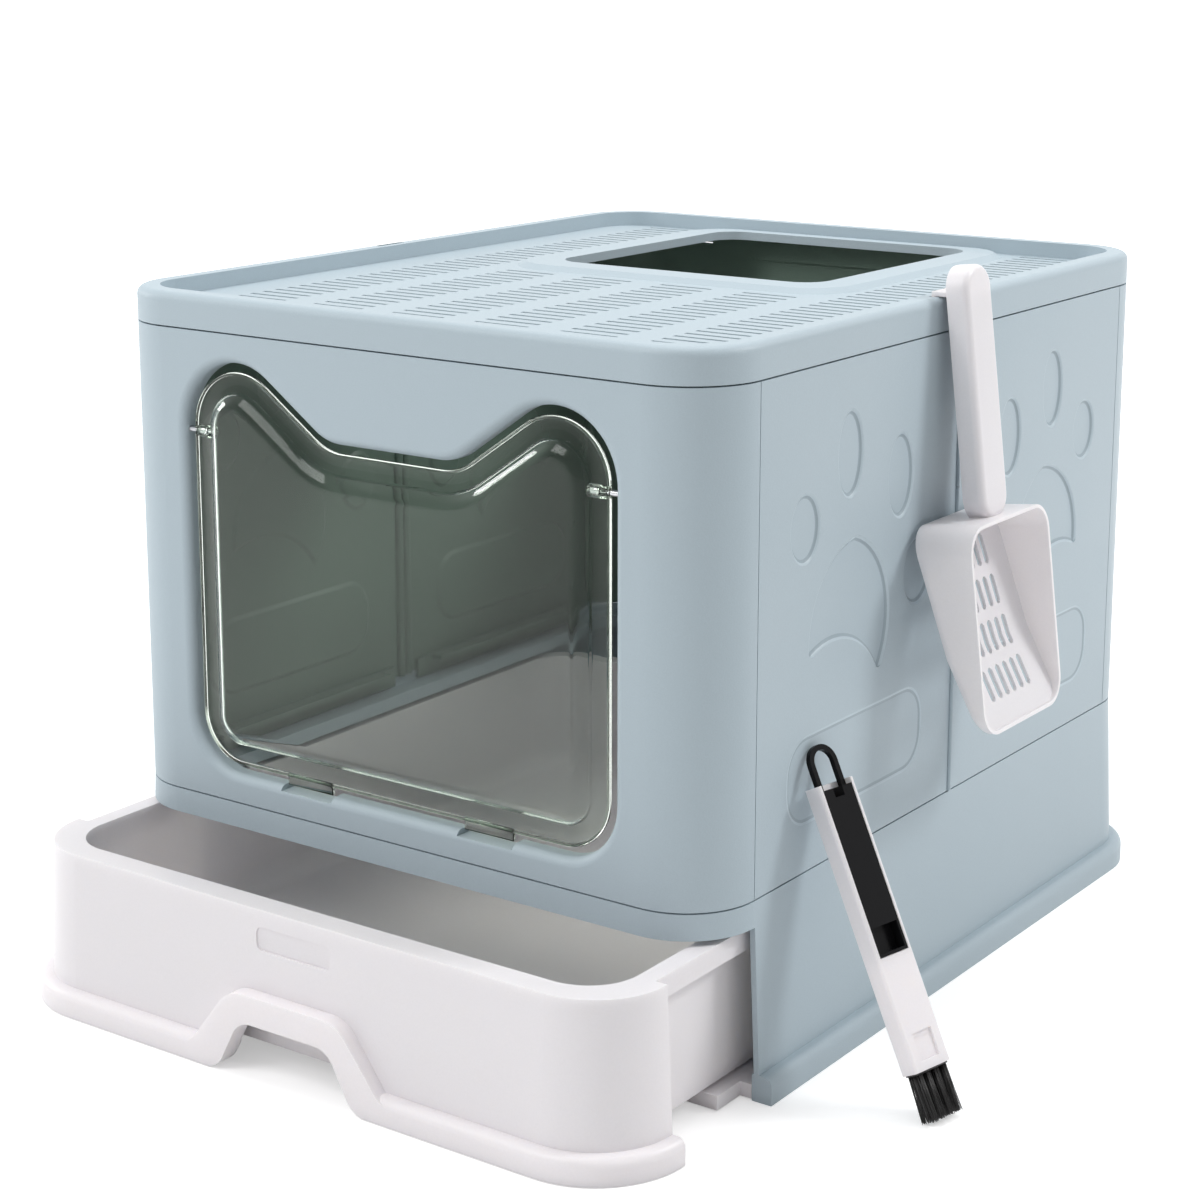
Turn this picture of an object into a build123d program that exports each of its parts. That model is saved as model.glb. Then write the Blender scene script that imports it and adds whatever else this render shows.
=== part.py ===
from build123d import *
import os
from math import cos, hypot, radians, sin

os.makedirs("parts", exist_ok=True)

# Box as it stands set up, in millimetres: front at -Y, floor at Z = 0
box_width = 410.0
box_depth = 506.0
base_height = 110.0
wall_height = 271.0
lid_height = 19.0
corner_radius = 42.0
corner_wrap = 43.0
wall = 3.5
seam_gap = 0.3
seam_line = 0.9
overrun = 10.0

# Locating rails inside the wall panels, which lap behind the lid skirt and the base skirt
rail_thickness = 2.5
rail_reach = 5.0
rail_lap = 8.0
rail_half_length = 120.0
rail_corner_clear = 18.0
rail_mid_clear = 12.0
flange_width = 11.0
flange_thickness = 3.0
flange_corner_clear = 30.0
flange_mid_clear = 26.0

# Wall hinges: wire pins in moulded knuckles
knuckle_gap = 0.4
knuckle_clear = 0.25
pin_clear = 0.06
hinge_end_clear = 14.0
corner_knuckles = 3
corner_barrel = 2.4
corner_inset = 2.7
corner_pin_radius = 1.2
corner_web = 4.0
mid_knuckles = 3
mid_barrel = 1.4
mid_offset = 0.3
mid_pin_radius = 0.7
mid_web = 3.0
mid_bead_radius = 3.2
pin_end_clear = 1.0

# Pressed paw print and pill on each half side wall, placed as shares of its length and height
emboss = 1.8
pill_width = 145.0
pill_height = 49.0
pill_radius = 20.0
pill_depth = 0.7
pill_place_shares = (0.488, 0.19)
toe_shares = (
    (0.214, 0.690, 0.143, 0.140),
    (0.429, 0.808, 0.129, 0.177),
    (0.690, 0.731, 0.138, 0.177),
    (0.790, 0.520, 0.157, 0.144),
)
pad_tip_left_shares = (0.240, 0.425)
pad_left_shares = (0.290, 0.570)
pad_top_shares = (0.467, 0.642)
pad_right_shares = (0.614, 0.550)
pad_tip_right_shares = (0.590, 0.340)
pad_notch_shares = (0.420, 0.440)
pad_tip_round = 4.0

# Doorway in the front panel and the clear flap that swings in it
door_half_width = 147.0
door_low = 127.0
door_valley = 327.0
door_peak = 399.4
valley_half_width = 43.6
ear_radius = 38.4
valley_radius = 30.0
foot_corner_radius = 34.0
collar_width = 7.0
collar_depth = 11.0
lip_radius = 5.0
flap_gap = 7.5
flap_thickness = 2.0
flap_setback = 4.5
flap_border = 12.0
flap_swell = 4.2
flap_taper = 20.0
flap_tab_width = 33.0
flap_tab_drop = 5.0
flap_tab_place = 63.0
tab_notch_width = 37.0
tab_notch_depth = 3.0
pivot_height = 323.0
pivot_radius = 1.6
pivot_clear = 0.06
pivot_boss_radius = 3.6
pivot_boss_length = 11.0
pivot_pin_length = 22.0
pivot_end_clear = 0.4

# Base skirt, flared to a foot rim, with the bridge over the drawer
foot_flare = 5.0
foot_width = 7.0
foot_height = 15.0
foot_round = 5.0
bridge_height = 14.0
ledge_width = 14.0
ledge_thickness = 3.0
ledge_clear = 0.5
apron_thickness = 2.5

# White floor frame that ties the base sides and carries the drawer
frame_low = 1.0
frame_high = 9.0
frame_clear = 0.2
frame_side_width = 46.0
frame_rear_width = 40.0
frame_bar_width = 40.0
frame_nose_reach = 22.0
frame_nose_clear = 7.0

# Litter drawer, standing pulled out as in use
drawer_pull = 80.0
fascia_top = 93.0
fascia_floor_clear = 0.5
rim_front_width = 14.0
rim_thickness = 2.5
rim_lip = 12.0
rim_overhang = 8.5
rim_side_clear = 6.5
tray_wall = 2.5
tray_low = 11.0
tray_rear_clear = 17.0
tray_radius = 32.0
tray_floor_round = 14.0
runner_inset = 8.0
runner_width = 5.0
runner_gap = 0.3
notch_low_half = 48.0
notch_high_half = 31.0
notch_height = 32.0
notch_round = 14.0
notch_foot_round = 16.0
notch_foot_reach = 24.0
grip_low_half = 68.0
grip_high_half = 38.0
grip_height = 48.0
grip_round = 20.0
grip_foot_round = 14.0
grip_foot_reach = 16.0
grip_seat = 2.0
panel_width = 52.0
panel_height = 13.0
panel_radius = 4.0
panel_level = 77.0
panel_depth = 0.9

# Slotted lid with a raised rim and the top entry
rim_width = 13.0
rim_round = 5.0
rim_skin = 3.0
rim_wall = 3.0
plate_drop = 9.5
plate_thickness = 2.5
entry_width = 190.0
entry_depth = 200.0
entry_front = 25.0
entry_radius = 18.0
border_width = 26.0
border_rise = 3.0
border_taper = 60.0
border_radius = 34.0
border_lap = 1.0
slot_columns = 6
slot_length = 36.0
slot_width = 3.2
slot_pitch = 10.5
slot_front = 63.0
slot_rear = 22.0
slot_clear = 8.0
column_pitch = 57.6
hang_slot_length = 24.0
hang_slot_width = 4.0

# Sieve scoop hung on the right rim of the lid
scoop_y = -12.0
scoop_lean = 7.0
scoop_stand = 4.2
scoop_wall = 2.0
handle_width = 30.0
handle_depth = 13.0
handle_top = 17.0
handle_drop = 124.0
handle_radius = 13.0
handle_round = 4.0
basket_width = 95.0
basket_length = 116.0
basket_back = 16.5
basket_front = 20.0
basket_radius = 16.0
basket_bend = 72.0
bend_depth = 20.0
tip_depth = 3.0
sieve_length = 17.0
sieve_width = 5.0
sieve_bevel = 1.5
sieve_pitch = 8.6
sieve_row_pitch = 23.0
sieve_columns = 6
sieve_rows = 4
hook_thickness = 2.4
hook_width = 20.0
hook_drop = 7.0

# Brush with slide-out dustpan, leaning on the right wall
brush_wall_clear = 0.2
brush_y = -172.0
brush_sink = 0.5
brush_lean = 27.7
brush_turn = 12.0
brush_width = 27.0
brush_thickness = 11.0
brush_floor = 3.0
brush_rim = 2.4
brush_round = 1.5
bristle_length = 25.0
bristle_slice = 1.0
brush_length = 154.0
pocket_length = 93.0
window_size = 14.5
window_depth = 1.4
window_place = 13.0
pan_clear = 0.3
pan_inset = 3.0
pan_mouth = 17.0
pan_mouth_floor = 1.6
pan_notch_width = 7.0
pan_notch_length = 5.0
loop_reach = 24.0
loop_width = 20.0
loop_bar = 3.0
loop_lift = 1.2
tuft_count = 4
tuft_pitch = 6.3
tuft_columns = 7
tuft_rows = 11
strand_pitch = 0.62
strand_radius = 0.24
strand_sides = 3

# Places worked out from the sizes above
half_width = box_width / 2
half_depth = box_depth / 2
seam_y = half_depth - corner_wrap
wall_low = base_height + seam_line
wall_top = base_height + wall_height
wall_high = wall_top - seam_line
lid_top = wall_top + lid_height
skirt = wall - seam_gap
inner_x = half_width - wall
inner_y = half_depth - wall
corner_x = inner_x - corner_inset
mid_x = half_width + mid_offset
bridge_low = base_height - bridge_height
front_face = Plane.XZ.offset(half_depth)


def spread(height):
    """How far the flared base stands outside the walls at a height."""
    return foot_flare * (1 - height / base_height)


def plan_block(width, depth, radius, low, high, shift=0):
    """An upright block with rounded corners, centred on the box."""
    with BuildPart() as form:
        with BuildSketch(Plane((0, shift, low))):
            RectangleRounded(width, depth, radius)
        extrude(amount=high - low)
    return form.part


def flared_form(inset, low, high, shift=0):
    """The flared outline of the base between two heights, set in by a wall thickness."""
    with BuildPart() as form:
        for height in (low, high):
            grow = spread(height) - inset
            with BuildSketch(Plane((0, shift, height))):
                RectangleRounded(box_width + 2 * grow, box_depth + 2 * grow, corner_radius + grow)
        loft(ruled=True)
    return form.part


def flared_shell(high, shift=0):
    """Flared skirt with its rounded foot rim, open above and below."""
    reach = foot_flare + foot_width
    body = flared_form(0, 0, high, shift)
    hollow = flared_form(skirt, foot_height, high + overrun, shift)
    foot_hollow = plan_block(box_width, box_depth, corner_radius, -overrun, foot_height, shift)
    with BuildPart() as shell:
        with BuildSketch(Plane((0, shift, 0))):
            RectangleRounded(box_width + 2 * reach, box_depth + 2 * reach, corner_radius + reach)
        extrude(amount=foot_height)
        fillet(shell.edges().group_by(Axis.Z)[-1], foot_round)
        add(body)
        add(hollow, mode=Mode.SUBTRACT)
        add(foot_hollow, mode=Mode.SUBTRACT)
    return shell.part


def knuckle_row(x, y, radius, web_low, web_high, web_reach, count, low, high, first):
    """Every second knuckle of a hinge, each with the web that ties it to its panel."""
    pitch = (high - low) / count
    length = pitch - knuckle_gap
    with BuildPart() as row:
        for place in range(first, count, 2):
            middle = low + place * pitch + pitch / 2
            with Locations((x, y, middle)):
                Cylinder(radius, length)
            with Locations(((web_low + web_high) / 2, y + web_reach / 2, middle)):
                Box(abs(web_high - web_low), abs(web_reach), length)
    return row.part


def doorway(inset):
    """Outline of the cat-ear doorway, set in all round by a gap."""
    corners = [
        (-door_half_width, door_low),
        (door_half_width, door_low),
        (door_half_width, door_peak),
        (valley_half_width, door_valley),
        (-valley_half_width, door_valley),
        (-door_half_width, door_peak),
    ]
    with BuildSketch() as outline:
        with BuildLine():
            Polyline(corners, close=True)
        make_face()
        fillet(outline.vertices().group_by(Axis.Y)[-1], ear_radius)
        fillet(outline.vertices().group_by(Axis.Y)[0], foot_corner_radius)
        fillet(outline.vertices().filter_by_position(Axis.Y, door_valley, door_valley), valley_radius)
        if inset:
            offset(amount=-inset)
    return outline.sketch


# Base skirt: open at the front below the bridge band, with an inner ledge and apron
ledge_high = base_height - rail_reach - ledge_clear
ledge_inner = skirt + ledge_width
base_skin = flared_shell(base_height)
with BuildPart() as base_frame:
    add(base_skin)
    with BuildSketch(Plane.XY.offset(-overrun)):
        with Locations((0, -seam_y - corner_wrap)):
            Rectangle(2 * box_width, 2 * corner_wrap)
    extrude(amount=bridge_low + overrun, mode=Mode.SUBTRACT)
    with BuildSketch(Plane.XY.offset(ledge_high - ledge_thickness)):
        RectangleRounded(box_width - skirt, box_depth - skirt, corner_radius - skirt / 2)
        RectangleRounded(
            box_width - 2 * ledge_inner,
            box_depth - 2 * ledge_inner,
            corner_radius - ledge_inner,
            mode=Mode.SUBTRACT,
        )
    extrude(amount=ledge_thickness)
    with BuildSketch(Plane.XY.offset(bridge_low)):
        RectangleRounded(
            box_width - 2 * ledge_inner, box_depth - 2 * ledge_inner, corner_radius - ledge_inner
        )
        offset(amount=apron_thickness)
        RectangleRounded(
            box_width - 2 * ledge_inner,
            box_depth - 2 * ledge_inner,
            corner_radius - ledge_inner,
            mode=Mode.SUBTRACT,
        )
    extrude(amount=ledge_high - bridge_low)
base_frame.part.label = "base_frame"
export_step(base_frame.part, "parts/base_frame.step")

# Floor frame: a flat frame inside the foot rim with two windows and a nose under the drawer mouth
frame_outer_x = half_width - frame_clear
frame_outer_y = half_depth - frame_clear
window_front = -seam_y + frame_bar_width / 2
window_rear = frame_outer_y - frame_rear_width
window_length = (window_rear - window_front - frame_bar_width) / 2
window_step = window_length + frame_bar_width
with BuildPart() as floor_frame:
    with BuildSketch(Plane.XY.offset(frame_low)):
        RectangleRounded(2 * frame_outer_x, 2 * frame_outer_y, corner_radius - frame_clear)
        with Locations((0, -seam_y - corner_wrap)):
            Rectangle(2 * box_width, 2 * corner_wrap, mode=Mode.SUBTRACT)
        with Locations((0, -seam_y)):
            Rectangle(2 * (frame_outer_x - frame_nose_clear), 2 * frame_nose_reach)
        with Locations((0, (window_front + window_rear) / 2)):
            with GridLocations(0, window_step, 1, 2):
                Rectangle(2 * (frame_outer_x - frame_side_width), window_length, mode=Mode.SUBTRACT)
    extrude(amount=frame_high - frame_low)
floor_frame.part.label = "floor_frame"
export_step(floor_frame.part, "parts/floor_frame.step")

# Litter drawer: fascia with grip and finger notch, top rim, and the tray behind it
tray_half_width = half_width - rim_side_clear - rim_overhang
tray_front = -half_depth + rim_front_width - tray_wall
tray_rear = half_depth - tray_rear_clear
tray_length = tray_rear - tray_front
tray_mid = (tray_front + tray_rear) / 2 - drawer_pull
rim_half_width = tray_half_width + rim_overhang
rim_length = tray_length + 2 * rim_overhang
rim_radius = tray_radius + rim_overhang
fascia_rear = -seam_y - seam_gap - drawer_pull
fascia_grow = spread(fascia_top)
fascia_skin = flared_shell(fascia_top, -drawer_pull)
fascia_cap = plan_block(
    box_width + 2 * fascia_grow,
    box_depth + 2 * fascia_grow,
    corner_radius + fascia_grow,
    fascia_top - rim_thickness,
    fascia_top,
    -drawer_pull,
)
with BuildPart() as tray_hollow:
    with BuildSketch(Plane((0, tray_mid, tray_low + tray_wall))):
        RectangleRounded(
            2 * (tray_half_width - tray_wall), tray_length - 2 * tray_wall, tray_radius - tray_wall
        )
    extrude(amount=fascia_top + overrun - tray_low - tray_wall)
    fillet(tray_hollow.edges().group_by(Axis.Z)[0], tray_floor_round)
grip_plane = Plane.XZ.offset(half_depth + drawer_pull + grip_seat)
panel_plane = Plane.XZ.offset(half_depth + drawer_pull + spread(panel_level) - panel_depth)
with BuildPart() as drawer:
    add(fascia_skin)
    add(fascia_cap)
    with BuildSketch(Plane.XY.offset(-overrun)):
        with Locations((0, fascia_rear + box_depth)):
            Rectangle(2 * box_width, 2 * box_depth)
    extrude(amount=fascia_top + 2 * overrun, mode=Mode.SUBTRACT)
    with BuildSketch(Plane((0, tray_mid, tray_low))):
        RectangleRounded(2 * tray_half_width, tray_length, tray_radius)
    extrude(amount=fascia_top - tray_low)
    with BuildSketch(Plane((0, tray_mid, fascia_top - rim_thickness))):
        RectangleRounded(2 * rim_half_width, rim_length, rim_radius)
    extrude(amount=rim_thickness)
    with BuildSketch(Plane((0, tray_mid, fascia_top - rim_lip))):
        RectangleRounded(2 * rim_half_width, rim_length, rim_radius)
        RectangleRounded(
            2 * (rim_half_width - rim_thickness),
            rim_length - 2 * rim_thickness,
            rim_radius - rim_thickness,
            mode=Mode.SUBTRACT,
        )
    extrude(amount=rim_lip - rim_thickness)
    with BuildSketch(grip_plane) as grip:
        with BuildLine():
            Polyline(
                (-grip_low_half - grip_foot_reach, 0),
                (grip_low_half + grip_foot_reach, 0),
                (grip_low_half + grip_foot_reach, foot_height - foot_round),
                (grip_low_half, foot_height - foot_round),
                (grip_high_half, grip_height),
                (-grip_high_half, grip_height),
                (-grip_low_half, foot_height - foot_round),
                (-grip_low_half - grip_foot_reach, foot_height - foot_round),
                close=True,
            )
        make_face()
        fillet(grip.vertices().group_by(Axis.Y)[-1], grip_round)
        fillet(grip.vertices().filter_by_position(Axis.X, -grip_low_half, -grip_low_half), grip_foot_round)
        fillet(grip.vertices().filter_by_position(Axis.X, grip_low_half, grip_low_half), grip_foot_round)
    extrude(amount=foot_flare + foot_width - grip_seat)
    with BuildSketch(grip_plane.offset(-grip_seat - skirt)) as notch:
        with BuildLine():
            Polyline(
                (-notch_low_half - notch_foot_reach, -overrun),
                (notch_low_half + notch_foot_reach, -overrun),
                (notch_low_half + notch_foot_reach, 0),
                (notch_low_half, 0),
                (notch_high_half, notch_height),
                (-notch_high_half, notch_height),
                (-notch_low_half, 0),
                (-notch_low_half - notch_foot_reach, 0),
                close=True,
            )
        make_face()
        fillet(notch.vertices().group_by(Axis.Y)[-1], notch_round)
        fillet(notch.vertices().filter_by_position(Axis.X, -notch_low_half, -notch_low_half), notch_foot_round)
        fillet(notch.vertices().filter_by_position(Axis.X, notch_low_half, notch_low_half), notch_foot_round)
    extrude(amount=grip_seat + skirt + foot_flare + foot_width + overrun, mode=Mode.SUBTRACT)
    with BuildSketch(panel_plane):
        with Locations((0, panel_level)):
            RectangleRounded(panel_width, panel_height, panel_radius)
    extrude(amount=overrun, mode=Mode.SUBTRACT)
    with BuildSketch(Plane((0, tray_mid, frame_high + runner_gap))):
        with GridLocations(2 * (tray_half_width - runner_inset), 0, 2, 1):
            Rectangle(runner_width, tray_length - 2 * tray_radius)
    extrude(amount=tray_low - frame_high - runner_gap)
    add(tray_hollow.part, mode=Mode.SUBTRACT)
    with BuildSketch(Plane((0, fascia_rear, -overrun))):
        Rectangle(2 * box_width, box_depth)
    extrude(amount=overrun + fascia_floor_clear, mode=Mode.SUBTRACT)
drawer.part.label = "drawer"
export_step(drawer.part, "parts/drawer.step")

# Front panel: wraps both front corners, with the doorway and its rolled collar
panel_length = wall_high - wall_low
panel_middle = (wall_low + wall_high) / 2
hinge_low = wall_low + hinge_end_clear
hinge_high = wall_high - hinge_end_clear
web_outer = inner_x + wall / 2
pivot_y = -half_depth + flap_setback + flap_thickness / 2
pivot_reach = door_half_width - flap_gap - pivot_boss_length + pivot_pin_length
door_outline = doorway(0)
collar_outline = doorway(-collar_width)
with BuildPart() as collar:
    with BuildSketch(front_face):
        add(collar_outline)
        add(door_outline, mode=Mode.SUBTRACT)
    extrude(amount=-collar_depth)
    fillet(collar.faces().sort_by(Axis.Y)[0].inner_wires()[0].edges(), lip_radius)


def wrapped_panel(end):
    """Plate of the front (end -1) or back (end 1) panel with its rails and corner knuckles."""
    rows = [
        knuckle_row(
            side * corner_x,
            end * seam_y,
            corner_barrel,
            side * corner_x,
            side * web_outer,
            end * corner_web,
            corner_knuckles,
            hinge_low,
            hinge_high,
            0,
        )
        for side in (-1, 1)
    ]
    with BuildPart() as panel:
        with BuildSketch(Plane.XY.offset(wall_low)):
            RectangleRounded(box_width, box_depth, corner_radius)
            RectangleRounded(2 * inner_x, 2 * inner_y, corner_radius - wall, mode=Mode.SUBTRACT)
            with Locations((0, end * (seam_y + seam_gap - box_depth))):
                Rectangle(2 * box_width, 2 * box_depth, mode=Mode.SUBTRACT)
        extrude(amount=panel_length)
        for rail_middle in (wall_low + (rail_lap - rail_reach) / 2, wall_high - (rail_lap - rail_reach) / 2):
            with Locations((0, end * (inner_y - rail_thickness / 2), rail_middle)):
                Box(2 * rail_half_length, rail_thickness, rail_lap + rail_reach)
        for row in rows:
            add(row)
        with Locations((-corner_x, end * seam_y, panel_middle), (corner_x, end * seam_y, panel_middle)):
            Cylinder(corner_pin_radius + pin_clear, wall_height, mode=Mode.SUBTRACT)
    return panel.part


front_plate = wrapped_panel(-1)
with BuildPart() as front_panel:
    add(front_plate)
    with BuildSketch(front_face):
        add(collar_outline)
    extrude(amount=-collar_depth, mode=Mode.SUBTRACT)
    add(collar.part)
    with BuildSketch(front_face.offset(overrun)):
        with Locations((-flap_tab_place, door_low), (flap_tab_place, door_low)):
            Rectangle(tab_notch_width, 2 * tab_notch_depth)
    extrude(amount=-collar_depth - 2 * overrun, mode=Mode.SUBTRACT)
    with Locations((0, pivot_y, pivot_height)):
        Cylinder(
            pivot_radius + pivot_clear,
            2 * (pivot_reach + pivot_end_clear),
            rotation=(0, 90, 0),
            mode=Mode.SUBTRACT,
        )
front_panel.part.label = "front_panel"
export_step(front_panel.part, "parts/front_panel.step")

# Back panel: the same wrap, with a plain face
back_plate = wrapped_panel(1)
with BuildPart() as back_panel:
    add(back_plate)
back_panel.part.label = "back_panel"
export_step(back_panel.part, "parts/back_panel.step")


# Half side walls: flat plates hinged to the corner wraps and to each other at mid depth
half_length = seam_y
side_face = Plane.YZ.offset(half_width)


def on_side(shares):
    """A point on the front half of the right wall, from its shares of length and height."""
    return (-seam_y + shares[0] * half_length, base_height + shares[1] * wall_height)


def side_half(mid_first):
    """Front half of the right wall, with the mid knuckles that start at the given place."""
    corner_row = knuckle_row(
        corner_x,
        -seam_y,
        corner_barrel,
        corner_x,
        web_outer,
        corner_web,
        corner_knuckles,
        hinge_low,
        hinge_high,
        1,
    )
    mid_row = knuckle_row(
        mid_x,
        0,
        mid_barrel,
        mid_x - mid_barrel,
        half_width,
        -mid_web,
        mid_knuckles,
        wall_low,
        wall_high,
        mid_first,
    )
    tip_left = on_side(pad_tip_left_shares)
    tip_right = on_side(pad_tip_right_shares)
    pad_top = on_side(pad_top_shares)
    rail_from = -seam_y + rail_corner_clear
    rail_length = half_length - rail_corner_clear - rail_mid_clear
    flange_from = -seam_y + flange_corner_clear
    flange_length = half_length - flange_corner_clear - flange_mid_clear
    flange_middle = wall_low + rail_lap - flange_thickness / 2
    with BuildPart() as half:
        with BuildSketch(Plane.XY.offset(wall_low)):
            with Locations((half_width - wall / 2, -seam_y / 2)):
                Rectangle(wall, seam_y - 2 * seam_gap)
            with Locations((inner_x, -mid_bead_radius - seam_gap)):
                Circle(mid_bead_radius)
        extrude(amount=panel_length)
        for rail_middle in (wall_low + (rail_lap - rail_reach) / 2, wall_high - (rail_lap - rail_reach) / 2):
            with Locations((inner_x - rail_thickness / 2, rail_from + rail_length / 2, rail_middle)):
                Box(rail_thickness, rail_length, rail_lap + rail_reach)
        with Locations((inner_x - flange_width / 2, flange_from + flange_length / 2, flange_middle)):
            Box(flange_width, flange_length, flange_thickness)
        with BuildSketch(side_face):
            for toe in toe_shares:
                with Locations(on_side(toe)):
                    Ellipse(toe[2] * half_length / 2, toe[3] * wall_height / 2)
        extrude(amount=-emboss, mode=Mode.SUBTRACT)
        with BuildSketch(side_face):
            with Locations(on_side(pill_place_shares)):
                RectangleRounded(pill_width, pill_height, pill_radius)
        extrude(amount=-pill_depth, mode=Mode.SUBTRACT)
        with BuildSketch(side_face) as pad:
            with BuildLine():
                ThreePointArc(tip_left, on_side(pad_left_shares), pad_top)
                ThreePointArc(pad_top, on_side(pad_right_shares), tip_right)
                ThreePointArc(tip_right, on_side(pad_notch_shares), tip_left)
            make_face()
            fillet([pad.vertices().sort_by(Axis.X)[0], pad.vertices().sort_by(Axis.X)[-1]], pad_tip_round)
        extrude(amount=-emboss, mode=Mode.SUBTRACT)
        with Locations((mid_x, 0, panel_middle)):
            Cylinder(mid_barrel + knuckle_clear, wall_height, mode=Mode.SUBTRACT)
        add(corner_row)
        add(mid_row)
        with Locations((mid_x, 0, panel_middle)):
            Cylinder(mid_pin_radius + pin_clear, wall_height, mode=Mode.SUBTRACT)
        with Locations((corner_x, -seam_y, panel_middle)):
            Cylinder(corner_pin_radius + pin_clear, wall_height, mode=Mode.SUBTRACT)
    return half.part


front_half = side_half(1)
rear_half = side_half(0)
side_halves = (
    ("front_right_side", front_half, ()),
    ("rear_right_side", rear_half, (Plane.XZ,)),
    ("front_left_side", front_half, (Plane.YZ,)),
    ("rear_left_side", rear_half, (Plane.XZ, Plane.YZ)),
)
for name, half, mirror_planes in side_halves:
    with BuildPart() as side_wall:
        add(half)
        for mirror_plane in mirror_planes:
            mirror(about=mirror_plane, mode=Mode.REPLACE)
    side_wall.part.label = name
    export_step(side_wall.part, f"parts/{name}.step")

# Wire pins of the six wall hinges
pin_places = {"front": -seam_y, "mid": 0, "rear": seam_y}
for place, pin_y in pin_places.items():
    at_mid = place == "mid"
    pin_radius = mid_pin_radius if at_mid else corner_pin_radius
    pin_x = mid_x if at_mid else corner_x
    pin_length = panel_length - 2 * (pin_end_clear if at_mid else hinge_end_clear)
    for side_name, side in (("left", -1), ("right", 1)):
        with BuildPart() as pin:
            with BuildSketch(Plane((side * pin_x, pin_y, panel_middle - pin_length / 2))):
                Circle(pin_radius)
            extrude(amount=pin_length)
        pin.part.label = f"{place}_{side_name}_pin"
        export_step(pin.part, f"parts/{place}_{side_name}_pin.step")

# Clear door flap: a thin border, a swelled middle, two bottom tabs and the pivot bosses
flap_front = half_depth - flap_setback
flap_face = Plane.XZ.offset(flap_front)
flap_outline = doorway(flap_gap)
swell_outline = doorway(flap_gap + flap_border)
hollow_outline = doorway(flap_gap + flap_border + flap_thickness)
boss_middle = door_half_width - flap_gap - pivot_boss_length / 2
with BuildPart() as door_flap:
    with BuildSketch(flap_face):
        add(flap_outline)
        with Locations((-flap_tab_place, door_low + flap_gap), (flap_tab_place, door_low + flap_gap)):
            Rectangle(flap_tab_width, 2 * flap_tab_drop)
    extrude(amount=-flap_thickness)
    with BuildSketch(flap_face):
        add(swell_outline)
    extrude(amount=flap_swell, taper=flap_taper)
    with BuildSketch(flap_face.offset(-flap_thickness)):
        add(hollow_outline)
    extrude(amount=flap_swell, taper=flap_taper, mode=Mode.SUBTRACT)
    with Locations((-boss_middle, pivot_y, pivot_height), (boss_middle, pivot_y, pivot_height)):
        Cylinder(pivot_boss_radius, pivot_boss_length, rotation=(0, 90, 0))
        Cylinder(pivot_radius + pivot_clear, pivot_boss_length, rotation=(0, 90, 0), mode=Mode.SUBTRACT)
door_flap.part.label = "door_flap"
export_step(door_flap.part, "parts/door_flap.step")

# Stub pins of the door, pressed into its bosses and turning in the collar
with BuildPart() as door_pins:
    for side in (-1, 1):
        with Locations((side * (pivot_reach - pivot_pin_length / 2), pivot_y, pivot_height)):
            Cylinder(pivot_radius, pivot_pin_length, rotation=(0, 90, 0))
door_pins.part.label = "door_pins"
export_step(door_pins.part, "parts/door_pins.step")

# Lid: skirt, hollow rim, slotted plate and the raised border of the top entry
plate_top = lid_top - plate_drop
plate_under = plate_top - plate_thickness
border_front = entry_front - border_width
border_rear = half_depth - rim_width + border_lap
border_mid = (border_front + border_rear) / 2
rim_inner = rim_width - rim_wall
column_from = -half_depth + slot_front
outer_rows = int((half_depth - slot_rear - column_from) / slot_pitch) + 1
inner_rows = int((border_front - slot_clear - column_from) / slot_pitch) + 1
hang_x = half_width - rim_width / 2
with BuildPart() as lid:
    with BuildSketch(Plane.XY.offset(wall_top)):
        RectangleRounded(box_width, box_depth, corner_radius)
    extrude(amount=lid_height)
    fillet(lid.edges().group_by(Axis.Z)[-1], rim_round)
    with BuildSketch(Plane.XY.offset(lid_top)):
        RectangleRounded(box_width - 2 * rim_width, box_depth - 2 * rim_width, corner_radius - rim_width)
    extrude(amount=-plate_drop, mode=Mode.SUBTRACT)
    with BuildSketch(Plane.XY.offset(wall_top)):
        RectangleRounded(box_width - 2 * skirt, box_depth - 2 * skirt, corner_radius - skirt)
    extrude(amount=plate_under - wall_top, mode=Mode.SUBTRACT)
    with BuildSketch(Plane.XY.offset(plate_under)):
        RectangleRounded(box_width - 2 * skirt, box_depth - 2 * skirt, corner_radius - skirt)
        RectangleRounded(
            box_width - 2 * rim_inner,
            box_depth - 2 * rim_inner,
            corner_radius - rim_inner,
            mode=Mode.SUBTRACT,
        )
    extrude(amount=lid_top - rim_skin - plate_under, mode=Mode.SUBTRACT)
    with BuildSketch(Plane.XY.offset(plate_top)):
        with Locations((0, border_mid)):
            RectangleRounded(entry_width + 2 * border_width, border_rear - border_front, border_radius)
    extrude(amount=border_rise, taper=border_taper)
    with BuildSketch(Plane.XY.offset(plate_under)):
        with Locations((0, entry_front + entry_depth / 2)):
            RectangleRounded(entry_width, entry_depth, entry_radius)
    extrude(amount=plate_thickness + border_rise, mode=Mode.SUBTRACT)
    with BuildSketch(Plane.XY.offset(plate_under)):
        with Locations((0, column_from + (outer_rows - 1) * slot_pitch / 2)):
            with GridLocations((slot_columns - 1) * column_pitch, slot_pitch, 2, outer_rows):
                Rectangle(slot_length, slot_width)
        with Locations((0, column_from + (inner_rows - 1) * slot_pitch / 2)):
            with GridLocations(column_pitch, slot_pitch, slot_columns - 2, inner_rows):
                Rectangle(slot_length, slot_width)
    extrude(amount=plate_thickness, mode=Mode.SUBTRACT)
    with BuildSketch(Plane.XY.offset(lid_top)):
        with Locations((-hang_x, scoop_y), (hang_x, scoop_y)):
            Rectangle(hang_slot_width, hang_slot_length)
    extrude(amount=-rim_skin, mode=Mode.SUBTRACT)
lid.part.label = "lid"
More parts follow.
